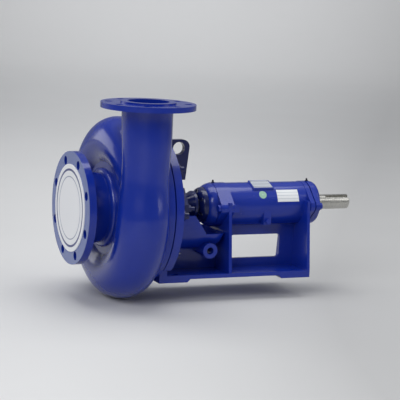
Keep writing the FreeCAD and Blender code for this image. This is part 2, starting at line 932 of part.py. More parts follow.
keep(ring("neck_bush", "sleeve_r + packing_play * 1.5", "packing_r", "bush_l", "box_floor"))
packing_starts = ["box_floor + bush_l"]
packing_starts += [f"lantern_front + lantern_l + {number} * packing_section" for number in range(3)]
keep(
    group(
        "packing_rings",
        [
            ring("packing_ring", "sleeve_r + packing_play", "packing_r", "packing_section", at)
            for at in packing_starts
        ],
    )
)
keep(
    turned(
        "lantern_ring",
        [
            ("0", "sleeve_r + packing_play * 1.5"),
            ("lantern_l * 0.25", "sleeve_r + packing_play * 1.5"),
            ("lantern_l * 0.25", "sleeve_r + packing_section * 0.35"),
            ("lantern_l * 0.75", "sleeve_r + packing_section * 0.35"),
            ("lantern_l * 0.75", "sleeve_r + packing_play * 1.5"),
            ("lantern_l", "sleeve_r + packing_play * 1.5"),
            ("lantern_l", "packing_r"),
            ("lantern_l * 0.75", "packing_r"),
            ("lantern_l * 0.75", "packing_r - packing_section * 0.3"),
            ("lantern_l * 0.25", "packing_r - packing_section * 0.3"),
            ("lantern_l * 0.25", "packing_r"),
            ("0", "packing_r"),
        ],
        ("lantern_front", "0", "0"),
    )
)

gland = body("gland_follower")
pad(
    gland,
    "YZ_Plane",
    [
        ("-(gland_stud_y + gland_stud_d)", "-gland_stud_d"),
        ("-packing_r", "-gland_half_height"),
        ("packing_r", "-gland_half_height"),
        ("gland_stud_y + gland_stud_d", "-gland_stud_d"),
        ("gland_stud_y + gland_stud_d", "gland_stud_d"),
        ("packing_r", "gland_half_height"),
        ("-packing_r", "gland_half_height"),
        ("-(gland_stud_y + gland_stud_d)", "gland_stud_d"),
    ],
    "gland_front",
    "gland_flange_t",
)
revolve(
    gland,
    [
        ("packing_end", "sleeve_r + gland_clear"),
        ("packing_end", "packing_r - packing_play"),
        ("gland_front + 1", "packing_r - packing_play"),
        ("gland_front + 1", "sleeve_r + gland_clear"),
    ],
)
drill(
    gland, "YZ_Plane", "0", "0", "sleeve_r + gland_clear", "packing_end - 1", "gland_back - packing_end + 2"
)
for side in ("-", ""):
    stud_y = f"{side}(gland_stud_y)"
    drill(
        gland,
        "YZ_Plane",
        stud_y,
        "0",
        "gland_stud_d / 2 + gland_clear",
        "gland_front - 1",
        "gland_flange_t + 2",
    )
keep(gland)

gland_studs = []
gland_nuts = []
for side in ("-", ""):
    y = f"{side}(gland_stud_y)"
    stud_l = "gland_stud_end - (box_end - gland_flange_t)"
    gland_studs.append(
        round_bar("gland_stud", "gland_stud_d / 2", stud_l, ("box_end - gland_flange_t", y, "0"))
    )
    blank = hexagon("gland_nut_blank", "gland_stud_d * 1.5", "gland_nut_h", ("gland_back", y, "0"))
    bore = round_bar(
        "gland_nut_bore", "gland_stud_d / 2 + packing_play", "gland_nut_h + 1", ("gland_back", y, "0")
    )
    gland_nuts.append(less("gland_nut", blank, bore))
keep(group("gland_studs", gland_studs))
keep(group("gland_nuts", gland_nuts))

# ---------------------------------------------------------------- bearing frame, one casting

frame = body("bearing_pedestal")
half_foot = "foot_width / 2"
ledge_chord = "sqrt(disc_r * disc_r - ledge_z * ledge_z)"
pad(
    frame,
    "YZ_Plane",
    [
        (f"-({half_foot})", "base_under"),
        (half_foot, "base_under"),
        (half_foot, "-ledge_z"),
        (ledge_chord, "-ledge_z"),
        ("0", "disc_r", "disc_r"),
        (f"-({ledge_chord})", "-ledge_z", "disc_r"),
        (f"-({half_foot})", "-ledge_z"),
    ],
    "disc_front",
    "disc_t",
)
pad(
    frame,
    "XY_Plane",
    [
        ("disc_front", f"-({half_foot})"),
        ("base_back", f"-({half_foot})"),
        ("base_back", half_foot),
        ("disc_front", half_foot),
    ],
    "base_under",
    "base_t",
)
foot_pads = (
    ("disc_front", "disc_front + front_pad_l", "disc_front + front_pad_l + pad_t"),
    ("base_back", "base_back - rear_pad_l", "base_back - rear_pad_l - pad_t"),
)
for outer, inner, slope in foot_pads:
    pad(
        frame,
        "XZ_Plane",
        [(outer, "base_under"), (outer, "-shaft_height"), (inner, "-shaft_height"), (slope, "base_under")],
        f"-({half_foot})",
        "foot_width",
    )

# The trough under the gland: a half bowl with upright sides, drained by a socket low on the
# -Y side.  Its rim steps down towards the bearing housing.
trough_bend_x = "(wall_front - trough_bend)"
trough_floor = "(trough_drop + trough_r)"


def half_bowl(kind, wall):
    """The bowl's lower half, or its hollow one wall inside."""
    revolve(
        frame,
        [
            ("disc_back", "0"),
            ("disc_back", f"-(trough_r - {wall})"),
            (trough_bend_x, f"-(trough_r - {wall})"),
            (f"wall_front - {wall}", f"-(trough_tail_r - {wall})", f"trough_bend * 1.02 - {wall}"),
            (f"wall_front - {wall}", "0"),
        ],
        kind,
        "-trough_drop",
        180,
    )


def trough_sides(wall):
    return [
        ("disc_back", f"-(trough_r - {wall})"),
        (trough_bend_x, f"-(trough_r - {wall})"),
        (trough_bend_x, f"trough_r - {wall}"),
        ("disc_back", f"trough_r - {wall}"),
    ]


half_bowl("Revolution", "0")
pad(frame, "XY_Plane", trough_sides("0"), "-trough_drop", "trough_drop - trough_rim")
drain_x = "wall_front - drain_x"
boss = frame.newObject("PartDesign::Pad", "drain_boss")
boss.Profile = disc_sketch(frame, "XZ_Plane", drain_x, "-drain_z", "drain_od / 2", "drain_start_y / 2")
bind(boss, "Length", "drain_end_y - drain_start_y / 2")
web_outline = [
    ("disc_back", "base_top"),
    ("rear_wall_front", "base_top"),
    ("rear_wall_front", "-barrel_r * 0.9"),
    ("wall_front", "-barrel_r * 0.9"),
    ("wall_front", "-(trough_drop + trough_tail_r - trough_wall / 2)"),
    (trough_bend_x, f"-({trough_floor} - trough_wall / 2)"),
    ("disc_back", f"-({trough_floor} - trough_wall / 2)"),
]
pad(frame, "XZ_Plane", web_outline, "-web_t / 2", "web_t")
half_bowl("Groove", "trough_wall")
cut(frame, "XY_Plane", trough_sides("trough_wall"), "-trough_drop", "trough_drop")
cut(
    frame,
    "XZ_Plane",
    [
        ("disc_back + rim_l", "-trough_rim"),
        ("disc_back + rim_l + rim_slope_l", "-trough_step"),
        ("wall_front", "-trough_step"),
        ("wall_front", "1"),
        ("disc_back + rim_l", "1"),
    ],
    "-trough_r - 1",
    "2 * trough_r + 2",
)
drill(
    frame,
    "XZ_Plane",
    drain_x,
    "-drain_z",
    "drain_bore / 2",
    "drain_start_y",
    "drain_end_y - drain_start_y + 1",
)

# Upright walls, and the barrel with its two-bolt flanges.
for start in ("wall_front", "rear_wall_front"):
    pad(
        frame,
        "YZ_Plane",
        [
            (f"-({half_foot})", "base_top"),
            (half_foot, "base_top"),
            ("ear_reach", "-ear_r"),
            ("ear_reach", "ear_r"),
            ("-ear_reach", "ear_r"),
            ("-ear_reach", "-ear_r"),
        ],
        start,
        "wall_t",
    )
revolve(
    frame,
    [
        ("housing_front", "0"),
        ("housing_front", "barrel_r"),
        ("housing_back", "barrel_r"),
        ("housing_back", "0"),
    ],
)


def ear_flange(proud):
    """A round flange with a bolt ear on each side, its edges tangent to both rounds."""
    middle = f"(barrel_r + {proud})"
    lean = f"(({middle} - ear_r) / (ear_reach - ear_r))"
    rise = f"sqrt(1 - {lean} * {lean})"
    tip_y, tip_z = f"ear_reach - ear_r + ear_r * {lean}", f"ear_r * {rise}"
    side_y, side_z = f"{middle} * {lean}", f"{middle} * {rise}"
    return [
        (tip_y, f"-({tip_z})"),
        (tip_y, tip_z, "ear_r"),
        (side_y, side_z),
        (f"-({side_y})", side_z, middle),
        (f"-({tip_y})", tip_z),
        (f"-({tip_y})", f"-({tip_z})", "ear_r"),
        (f"-({side_y})", f"-({side_z})"),
        (side_y, f"-({side_z})", middle),
    ]


proud_flange = ear_flange("flange_proud")
pad(frame, "YZ_Plane", proud_flange, "housing_front", "front_flange_t")
pad(frame, "YZ_Plane", proud_flange, "housing_back - ear_t", "ear_t")
# The castings thicken behind the ears: outwards at the front pair, inwards at the rear pair.
for side in ("", "-"):
    front_gusset = [
        ("housing_front", f"{side}barrel_r * 0.8"),
        ("housing_front + front_flange_t", f"{side}barrel_r * 0.9"),
        ("housing_front + front_flange_t + ear_sweep", f"{side}(ear_reach - 1)"),
        ("housing_front", f"{side}(ear_reach - 1)"),
    ]
    rear_gusset = [
        ("housing_back - 1", f"{side}barrel_r * 0.8"),
        ("housing_back - 1", f"{side}(ear_reach - 1)"),
        ("housing_back - ear_t", f"{side}(ear_reach - 1)"),
        ("rear_wall_front", f"{side}barrel_r * 0.9"),
    ]
    for gusset in (front_gusset, rear_gusset):
        pad(frame, "XY_Plane", gusset, "-ear_r * 0.6", "1.2 * ear_r")

# Cast pads on the barrel: one for the plate near the top, one for the drain plug low on -Y.
pad_out = "barrel_r + plate_stand"
pad_in = "barrel_r * 0.8"
pad_half = "plate_w / 2 + plate_margin"


pad(
    frame,
    "YZ_Plane",
    [
        tilted("plate_tilt", pad_in, f"-({pad_half})"),
        tilted("plate_tilt", pad_in, pad_half),
        tilted("plate_tilt", pad_out, pad_half),
        tilted("plate_tilt", pad_out, f"-({pad_half})"),
    ],
    "housing_front + plate_x - plate_l / 2 - plate_margin",
    "plate_l + 2 * plate_margin",
)
plug_x = "housing_front + plug_x"
pad(
    frame,
    "XZ_Plane",
    [
        (f"{plug_x} - plug_boss_w / 2", "-(plug_z + plug_boss_w / 2)"),
        (f"{plug_x} + plug_boss_w / 2", "-(plug_z + plug_boss_w / 2)"),
        (f"{plug_x} + plug_boss_w / 2", "-plug_z + plug_boss_w * 1.4"),
        (f"{plug_x} - plug_boss_w / 2", "-plug_z + plug_boss_w * 1.4"),
    ],
    "plug_boss_out * 0.6",
    "plug_boss_out * 0.4",
)

# Bores: the bearing seats, the cover's register and the way for the stuffing box.
revolve(
    frame,
    [
        ("housing_front - 1", "0"),
        ("housing_front - 1", "bearing_od / 2"),
        ("front_shoulder", "bearing_od / 2"),
        ("front_shoulder", "barrel_bore / 2"),
        ("rear_shoulder", "barrel_bore / 2"),
        ("rear_shoulder", "bearing_od / 2"),
        ("housing_back + 1", "bearing_od / 2"),
        ("housing_back + 1", "0"),
    ],
    "Groove",
)
revolve(
    frame,
    [
        ("disc_front - 1", "0"),
        ("disc_front - 1", "cover_flange_od / 2 + locating_play"),
        ("cover_back", "cover_flange_od / 2 + locating_play"),
        ("cover_back", "trough_r - trough_wall - 1"),
        ("disc_back + 1", "trough_r - trough_wall - 1"),
        ("disc_back + 1", "0"),
    ],
    "Groove",
)
nipple_hole_r = "nipple_d * 0.35 + locating_play / 2"
rear_nipple_x = "rear_cover_front + ear_t / 2"
for angle in STUD_ANGLES:
    y, z = round_about("casing_stud_circle / 2", f"{angle}")
    drill(frame, "YZ_Plane", y, z, "(casing_stud_d + stud_hole_play) / 2", "disc_front - 1", "disc_t + 2")
for side in ("-", ""):
    y = f"{side}ear_bolt_y"
    drill(frame, "YZ_Plane", y, "0", "ear_bolt_d / 2", "housing_front - 1", "front_flange_t + 1")
    drill(frame, "YZ_Plane", y, "0", "ear_bolt_d / 2", "housing_back - ear_t", "ear_t + 1")
FOOT_X = ("disc_front + front_pad_l * 0.62", "base_back - rear_pad_l / 2")
for x in FOOT_X:
    for side in ("-", ""):
        y = f"{side}foot_bolt_spacing / 2"
        drill(frame, "XY_Plane", x, y, "foot_bolt_hole / 2", "-shaft_height - 1", "pad_t + base_t + 2")

# The window through the web, with rounded corners.
left, right = "wall_back + window_front", "rear_wall_front - window_rear"
low, top = "window_low", "window_top"
corner = "window_corner"
cut(
    frame,
    "XZ_Plane",
    [
        (f"{left} + {corner}", low, corner),
        (f"{right} - {corner}", low),
        (right, f"{low} + {corner}", corner),
        (right, f"{top} - {corner}"),
        (f"{right} - {corner}", top, corner),
        (f"{left} + {corner}", top),
        (left, f"{top} - {corner}", corner),
        (left, f"{low} + {corner}"),
    ],
    "-web_t / 2 - 1",
    "web_t + 2",
)
keep(frame)

# ---------------------------------------------------------------- lifting lug

lug = body("lifting_lug")
pad(
    lug,
    "XZ_Plane",
    [
        ("disc_back", "lug_foot_z"),
        ("disc_back + lug_reach * 0.9", "lug_foot_z + 2"),
        ("disc_back + lug_reach", "lug_top_z - lug_corner"),
        ("disc_back + lug_reach - lug_corner", "lug_top_z", "lug_corner"),
        ("disc_back", "lug_top_z"),
    ],
    "-lug_t / 2",
    "lug_t",
)
drill(
    lug, "XZ_Plane", "disc_back + lug_hole_x", "lug_hole_z", "lug_hole_d / 2", "-lug_t / 2 - 1", "lug_t + 2"
)
keep(lug)

# ---------------------------------------------------------------- bearings


def ball_race(label, inner, outer, groove_up, length, at):
    """A ring with two ball grooves, on its outside or in its bore."""
    rows = ("0.27", "0.73")
    edge = outer if groove_up else inner
    depth = f"abs(race_mid_r - ({edge}))"
    groove_r = "ball_d / 2 + roller_play"
    half = f"sqrt(({groove_r}) * ({groove_r}) - ({depth}) * ({depth}))"
    plain = inner if groove_up else outer
    sign = "" if groove_up else "-"
    points = [("0", plain), ("0", edge)]
    for row in rows:
        points.append((f"{length} * {row} - {half}", edge))
        points.append((f"{length} * {row} + {half}", edge, f"{sign}({groove_r})"))
    points += [(length, edge), (length, plain)]
    return turned(label, points, (at, "0", "0"))


inner_r = "bearing_bore / 2"
outer_r = "bearing_od / 2"
inner_race_r = "bearing_bore / 2 + ring_t"
outer_race_r = "bearing_od / 2 - ring_t"
keep(ring("front_bearing_inner_ring", inner_r, inner_race_r, "front_bearing_w", "front_bearing_x"))
keep(ring("front_bearing_outer_ring", outer_race_r, outer_r, "front_bearing_w", "front_bearing_x"))
keep(ball_race("rear_bearing_inner_ring", inner_r, inner_race_r, True, "rear_bearing_w", "rear_shoulder"))
keep(ball_race("rear_bearing_outer_ring", outer_race_r, outer_r, False, "rear_bearing_w", "rear_shoulder"))

roller_x = "front_bearing_x + (front_bearing_w - roller_l) / 2"
rollers = []
pockets = []
for number in range(int(num("front_rollers"))):
    y, z = round_about("race_mid_r", f"{number} * 360 / front_rollers")
    rollers.append(round_bar("roller", "rolling_d / 2 - roller_play", "roller_l", (roller_x, y, z)))
    pocket_at = (f"{roller_x} - roller_play", y, z)
    pockets.append(
        round_bar("pocket", "rolling_d / 2 + roller_play", "roller_l + 2 * roller_play", pocket_at)
    )
keep(group("front_rollers", rollers))
cage_x = f"{roller_x} - cage_side"
cage_blank = ring(
    "front_cage_blank", "race_mid_r - cage_t / 2", "race_mid_r + cage_t / 2", "roller_l + 2 * cage_side", cage_x
)
keep(less("front_cage", cage_blank, group("front_cage_pockets", pockets)))

balls = []
ball_pockets = []
for row in ("0.27", "0.73"):
    for number in range(int(num("rear_balls"))):
        y, z = round_about("race_mid_r", f"{number} * 360 / rear_balls")
        for pieces, growth in ((balls, "0"), (ball_pockets, "2 * roller_play")):
            ball = doc.addObject("Part::Sphere", "ball")
            bind(ball, "Radius", f"ball_d / 2 + {growth}")
            pieces.append(place(ball, (f"rear_shoulder + rear_bearing_w * {row}", y, z)))
keep(group("rear_balls", balls))
cage_l = "rear_bearing_w * 0.86"
ball_cage_blank = ring(
    "rear_cage_blank",
    "race_mid_r - cage_t / 2",
    "race_mid_r + cage_t / 2",
    cage_l,
    f"rear_shoulder + (rear_bearing_w - {cage_l}) / 2",
)
keep(less("rear_cage", ball_cage_blank, group("rear_cage_pockets", ball_pockets)))

keep(ring("lock_washer", inner_r, "bearing_bore / 2 + ring_t + 2", "lock_washer_t", "lock_washer_x"))
lock_nut = body("bearing_lock_nut")
revolve(
    lock_nut,
    [
        ("lock_nut_x", inner_r),
        ("lock_nut_end", inner_r),
        ("lock_nut_end", "bearing_bore / 2 + ring_t + 3"),
        ("lock_nut_x", "bearing_bore / 2 + ring_t + 3"),
    ],
)
slot = cut(
    lock_nut,
    "YZ_Plane",
    [
        ("-2.5", "bearing_bore / 2 + ring_t"),
        ("2.5", "bearing_bore / 2 + ring_t"),
        ("2.5", "bearing_bore / 2 + ring_t + 4"),
        ("-2.5", "bearing_bore / 2 + ring_t + 4"),
    ],
    "lock_nut_x - 1",
    "lock_nut_t + 2",
)
repeat(lock_nut, [slot], "X_Axis", "4")
keep(lock_nut)

# ---------------------------------------------------------------- housing covers

cavity_r = "bearing_od / 2 - ring_t - 1"
front_nipple_x = "housing_front - front_ear_t * 0.75"
cover_nose_r = "(retainer_od / 2 + 1)"
shoulder_rise = f"(barrel_r - {cover_nose_r})"
shoulder_r = f"((front_cover_neck * front_cover_neck / {shoulder_rise} + {shoulder_rise}) / 2)"
front_cover = body("front_bearing_cover")
revolve(
    front_cover,
    [
        ("retainer_back", "0"),
        ("retainer_back", cover_nose_r),
        ("retainer_back + front_cover_neck", "barrel_r", f"-{shoulder_r}"),
        ("housing_front", "barrel_r"),
        ("housing_front", outer_r),
        ("front_bearing_x", outer_r),
        ("front_bearing_x", "0"),
    ],
)
pad(front_cover, "YZ_Plane", proud_flange, "housing_front - front_ear_t", "front_ear_t")
revolve(
    front_cover,
    [
        ("retainer_back - 1", "0"),
        ("retainer_back - 1", "bearing_bore / 2 + 4"),
        ("retainer_back + front_cover_neck * 0.8", "bearing_bore / 2 + 4"),
        ("retainer_back + front_cover_neck * 0.8", cavity_r),
        ("front_bearing_x + 1", cavity_r),
        ("front_bearing_x + 1", "0"),
    ],
    "Groove",
)
for side in ("-", ""):
    y = f"{side}ear_bolt_y"
    drill(
        front_cover,
        "YZ_Plane",
        y,
        "0",
        "ear_bolt_d / 2 + 0.5",
        "housing_front - front_ear_t - 1",
        "front_ear_t + 2",
    )
retainer_thread = drill(
    front_cover, "YZ_Plane", "0", "retainer_bolt_circle / 2", "retainer_bolt_d / 2", "retainer_back - 1", "9"
)
repeat(front_cover, [retainer_thread], "X_Axis", "6")
drill(front_cover, "XY_Plane", front_nipple_x, "0", nipple_hole_r, "0", "barrel_r + 2")
keep(front_cover)

retainer = body("front_seal_retainer")
dome_l = "retainer_l * 0.86"
revolve(
    retainer,
    [
        ("retainer_front", "bearing_bore / 2 + 1"),
        ("retainer_front", f"retainer_od / 2 - {dome_l}"),
        (f"retainer_front + {dome_l}", "retainer_od / 2", f"-{dome_l}"),
        ("retainer_back", "retainer_od / 2"),
        ("retainer_back", "bearing_bore / 2 + seal_section - 2"),
        ("seal_x + seal_w", "bearing_bore / 2 + seal_section - 2"),
        ("seal_x + seal_w", "bearing_bore / 2 + seal_section"),
        ("seal_x", "bearing_bore / 2 + seal_section"),
        ("seal_x", "bearing_bore / 2 + 1"),
    ],
)
head_seat = "retainer_front + retainer_bolt_d * 1.5"
spot = drill(
    retainer, "YZ_Plane", "0", "retainer_bolt_circle / 2", "retainer_bolt_d", "retainer_front - 1", "retainer_bolt_d * 1.5 + 1"
)
shank = drill(
    retainer, "YZ_Plane", "0", "retainer_bolt_circle / 2", "retainer_bolt_d / 2", "retainer_front", "retainer_l + 1"
)
repeat(retainer, [spot, shank], "X_Axis", "6")
keep(retainer)
retainer_bolts = []
for number in range(6):
    y, z = round_about("retainer_bolt_circle / 2", f"{60 * number}")
    grip = "retainer_back - (retainer_front + retainer_bolt_d * 1.5) + 8"
    retainer_bolts.append(hex_bolt(f"retainer_bolt_{number}", "retainer_bolt_d", grip, (head_seat, y, z)))
keep(group("retainer_bolts", retainer_bolts))
keep(
    ring(
        "front_lip_seal",
        "bearing_bore / 2 + packing_play",
        "bearing_bore / 2 + seal_section",
        "seal_w",
        "seal_x",
    )
)

rear_cover = body("rear_bearing_cover")
revolve(
    rear_cover,
    [
        ("rear_bearing_end", "0"),
        ("rear_bearing_end", outer_r),
        ("rear_cover_front", outer_r),
        ("rear_cover_front", "barrel_r"),
        ("rear_cover_end - rear_cover_l * 0.4", "barrel_r"),
        ("rear_cover_end", "barrel_r - rear_cover_l * 0.4", "-rear_cover_l * 0.4"),
        ("rear_cover_end", "0"),
    ],
)
pad(rear_cover, "YZ_Plane", proud_flange, "rear_cover_front", "ear_t")
revolve(
    rear_cover,
    [
        ("rear_bearing_end - 1", "0"),
        ("rear_bearing_end - 1", cavity_r),
        ("rear_cover_end - rear_cover_l * 0.52", cavity_r),
        ("rear_cover_end - rear_cover_l * 0.52", "bearing_bore / 2 + seal_section - 2"),
        ("rear_seal_x", "bearing_bore / 2 + seal_section - 2"),
        ("rear_seal_x", "bearing_bore / 2 + seal_section"),
        ("rear_seal_x + seal_w", "bearing_bore / 2 + seal_section"),
        ("rear_seal_x + seal_w", "bearing_bore / 2 + 2"),
        ("rear_cover_end + 1", "bearing_bore / 2 + 2"),
        ("rear_cover_end + 1", "0"),
    ],
    "Groove",
)
for side in ("-", ""):
    drill(
        rear_cover,
        "YZ_Plane",
        f"{side}ear_bolt_y",
        "0",
        "ear_bolt_d / 2 + 0.5",
        "rear_cover_front - 1",
        "ear_t + 2",
    )
drill(rear_cover, "XY_Plane", rear_nipple_x, "0", nipple_hole_r, "0", "barrel_r + 2")
keep(rear_cover)
keep(
    ring(
        "rear_lip_seal",
        "bearing_bore / 2 + packing_play",
        "bearing_bore / 2 + seal_section",
        "seal_w",
        "rear_seal_x",
    )
)

front_bolts = []
rear_bolts = []
for side in ("-", ""):
    y = f"{side}ear_bolt_y"
    front_at = ("housing_front - front_ear_t", y, "0")
    grip = "front_ear_t + front_flange_t"
    front_bolts.append(hex_bolt(f"front_cover_bolt{len(front_bolts)}", "ear_bolt_d", grip, front_at))
    rear_at = ("rear_cover_front + ear_t", y, "0")
    grip = "2 * ear_t + rear_gap"
    rear_bolts.append(hex_bolt(f"rear_cover_bolt{len(rear_bolts)}", "ear_bolt_d", grip, rear_at, True))
keep(group("front_cover_bolts", front_bolts))
keep(group("rear_cover_bolts", rear_bolts))

# ---------------------------------------------------------------- small fittings on the barrel

plate_front = "housing_front + plate_x - plate_l / 2"
keep(tilted_block("rating_plate", "plate_l", "plate_w", "plate_t", plate_front, pad_out, "plate_tilt"))

plug_hex = hexagon(
    "plug_hex", "plug_flats", "plug_flats * 0.5", (plug_x, "-(plug_boss_out + 2)", "-plug_z"), ALONG_MINUS_Y
)
plug_washer = round_bar(
    "plug_washer", "plug_flats * 0.7", "2", (plug_x, "-plug_boss_out", "-plug_z"), ALONG_MINUS_Y
)
keep(joined("housing_drain_plug", [plug_hex, plug_washer]))

nipple_seat = "barrel_r + flange_proud"
nipples = []
for x in (front_nipple_x, rear_nipple_x):
    base = hexagon("nipple_base", "nipple_d * 1.3", "nipple_l * 0.4", (x, "0", nipple_seat), UPRIGHT)
    stem_foot = f"{nipple_seat} - nipple_l"
    stem = round_bar("nipple_stem", "nipple_d * 0.35", "2 * nipple_l", (x, "0", stem_foot), UPRIGHT)
    tip = doc.addObject("Part::Sphere", "nipple_tip")
    bind(tip, "Radius", "nipple_d * 0.42")
    place(tip, (x, "0", f"{nipple_seat} + nipple_l"))
    nipples.append(joined("grease_nipple", [base, stem, tip]))
keep(group("grease_nipples", nipples))

# ---------------------------------------------------------------- check and write

doc.recompute()
faults = [thing.Label for thing in doc.Objects if {"Invalid", "Error"} & set(thing.State)]
for node in NODES:
    shape = node.Shape
    if shape.isNull() or not shape.isValid() or not shape.Solids:
        faults.append(node.Label)
if faults:
    raise RuntimeError("failed: " + ", ".join(faults))

os.makedirs("parts", exist_ok=True)
for node in NODES:
    node.Shape.exportStep(f"parts/{node.Label}.step")
    box = node.Shape.BoundBox
    print(
        f"{node.Label:26s} {len(node.Shape.Solids):3d} solids {node.Shape.Volume / 1000:10.1f} cm3",
        f"x {box.XMin:7.1f} {box.XMax:7.1f} y {box.YMin:7.1f} {box.YMax:7.1f} z {box.ZMin:7.1f} {box.ZMax:7.1f}",
    )
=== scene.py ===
import math

import bpy
import numpy as np
from mathutils import Matrix, Vector


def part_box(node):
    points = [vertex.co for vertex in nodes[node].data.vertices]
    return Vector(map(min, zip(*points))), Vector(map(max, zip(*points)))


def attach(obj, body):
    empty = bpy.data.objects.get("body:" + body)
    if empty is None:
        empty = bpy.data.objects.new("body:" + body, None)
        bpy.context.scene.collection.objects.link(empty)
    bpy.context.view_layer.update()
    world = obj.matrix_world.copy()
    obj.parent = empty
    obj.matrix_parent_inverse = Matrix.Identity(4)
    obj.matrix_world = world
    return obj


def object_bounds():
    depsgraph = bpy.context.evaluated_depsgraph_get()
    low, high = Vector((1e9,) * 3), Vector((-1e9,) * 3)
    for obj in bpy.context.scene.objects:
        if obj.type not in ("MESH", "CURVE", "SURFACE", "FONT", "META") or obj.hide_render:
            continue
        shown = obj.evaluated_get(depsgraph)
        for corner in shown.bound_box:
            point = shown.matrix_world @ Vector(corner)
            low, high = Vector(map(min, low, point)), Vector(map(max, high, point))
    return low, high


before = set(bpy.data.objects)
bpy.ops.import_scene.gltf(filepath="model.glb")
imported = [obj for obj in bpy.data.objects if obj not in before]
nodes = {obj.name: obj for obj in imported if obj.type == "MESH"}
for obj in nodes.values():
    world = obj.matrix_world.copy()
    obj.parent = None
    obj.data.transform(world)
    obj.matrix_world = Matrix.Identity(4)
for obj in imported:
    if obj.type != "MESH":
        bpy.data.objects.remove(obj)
cad_low, cad_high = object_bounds()

# ---------------------------------------------------------------- camera
# A long lens on the nozzle's side, turned towards the drive end and looking a little down.

camera_place = Vector((-1.33012, -3.7706, 0.66548))
camera_yaw = math.radians(23.989)
camera_pitch = math.radians(8.997)
camera_roll = math.radians(2.676)

ahead = Vector(
    (
        math.sin(camera_yaw) * math.cos(camera_pitch),
        math.cos(camera_yaw) * math.cos(camera_pitch),
        -math.sin(camera_pitch),
    )
)
level = Vector((math.cos(camera_yaw), -math.sin(camera_yaw), 0))
above = level.cross(ahead)
right = math.cos(camera_roll) * level + math.sin(camera_roll) * above
up = -math.sin(camera_roll) * level + math.cos(camera_roll) * above

camera = bpy.data.objects.new("camera", bpy.data.cameras.new("camera"))
camera.data.sensor_width = 36
camera.data.lens = 147.93
camera.data.clip_end = 60
camera.matrix_world = Matrix.Translation(camera_place) @ Matrix((right, up, -ahead)).transposed().to_4x4()
bpy.context.scene.collection.objects.link(camera)
bpy.context.scene.camera = camera
bpy.context.scene.view_settings.view_transform = "Standard"

# ---------------------------------------------------------------- studio
# A round studio bowl of matt pale plaster: a flat floor just under the volute, swept up into a
# wall that stands well outside every view, and broad soft lamps.  The plaster's colour carries
# painted light: darker near the pump and lighter further out, a painted pool of light with
# painted shade towards its sides, and a painted glow that only camera rays see.

FLOOR_GAP = 0.003
FLOOR_RADIUS = 7.0
SWEEP = 2.5
WALL_TOP = 7.5
# Painted light on floor and wall: darker near the pump, lighter far out, painted side shade, painted pool widths and a
# painted glow.
NEAR_PAINTED_LIGHT = 0.66
FAR_PAINTED_LIGHT = 0.80
SIDE_PAINTED_SHADE = 0.72
PAINTED_POOL_NEAR = 0.55
PAINTED_POOL_FAR = 1.9
FAR_PAINTED_GLOW = 0.36


def grid_mesh(name, points, close_u=False, close_v=False):
    """A quad mesh over a grid of points, rows by columns, closed along either way if asked."""
    rows, columns = points.shape[:2]
    index = np.arange(rows * columns).reshape(rows, columns)
    if close_u:
        index = np.vstack([index, index[:1]])
    if close_v:
        index = np.hstack([index, index[:, :1]])
    quads = np.stack([index[:-1, :-1], index[:-1, 1:], index[1:, 1:], index[1:, :-1]], axis=-1).reshape(-1, 4)
    mesh = bpy.data.meshes.new(name)
    mesh.from_pydata(points.reshape(-1, 3).tolist(), [], quads.tolist())
    mesh.polygons.foreach_set("use_smooth", [True] * len(mesh.polygons))
    piece = bpy.data.objects.new(name, mesh)
    bpy.context.scene.collection.objects.link(piece)
    return piece


def studio_bowl(floor_z):
    """Floor and wall as one turned sheet: out along the floor, round a quarter circle, up the wall."""
    quarter = np.linspace(0, np.pi / 2, 25)
    out = np.concatenate([np.linspace(0, FLOOR_RADIUS, 24), FLOOR_RADIUS + SWEEP * np.sin(quarter[1:])])
    high = np.concatenate([np.zeros(24), SWEEP * (1 - np.cos(quarter[1:]))])
    out = np.append(out, out[-1])
    high = np.append(high, WALL_TOP)
    turn = np.linspace(0, 2 * np.pi, 96, endpoint=False)
    x = np.outer(np.cos(turn), out)
    y = np.outer(np.sin(turn), out)
    z = np.broadcast_to(floor_z + high, x.shape)
    return grid_mesh("studio_bowl", np.stack([x, y, z], axis=-1), close_u=True)


def fresh_finish(name):
    """A new material, its node tree and its shader, ready to be wired."""
    finish = bpy.data.materials.new(name)
    finish.use_nodes = True
    return finish, finish.node_tree, finish.node_tree.nodes["Principled BSDF"]


def wire(tree, kind, inputs, **settings):
    """Add one shader node; each input is a plain value or another node's socket."""
    node = tree.nodes.new("ShaderNode" + kind)
    for key, value in settings.items():
        setattr(node, key, value)
    for socket, value in inputs.items():
        if isinstance(value, bpy.types.NodeSocket):
            tree.links.new(value, node.inputs[socket])
        else:
            node.inputs[socket].default_value = value
    return node


def set_shader(tree, shader, **inputs):
    """Give the shader's sockets their values or sockets, by name with underscores for spaces."""
    for name, value in inputs.items():
        socket = shader.inputs[name.replace("_", " ")]
        if isinstance(value, bpy.types.NodeSocket):
            tree.links.new(value, socket)
        else:
            socket.default_value = value


plaster, tree, shader = fresh_finish("studio_plaster")
where = wire(tree, "TexCoord", {}).outputs["Object"]
mottle = wire(tree, "TexNoise", {"Vector": where, "Scale": 3.0, "Detail": 3.0})
grey = wire(tree, "MapRange", {"Value": mottle.outputs["Fac"], "To Min": 0.98, "To Max": 1.02})
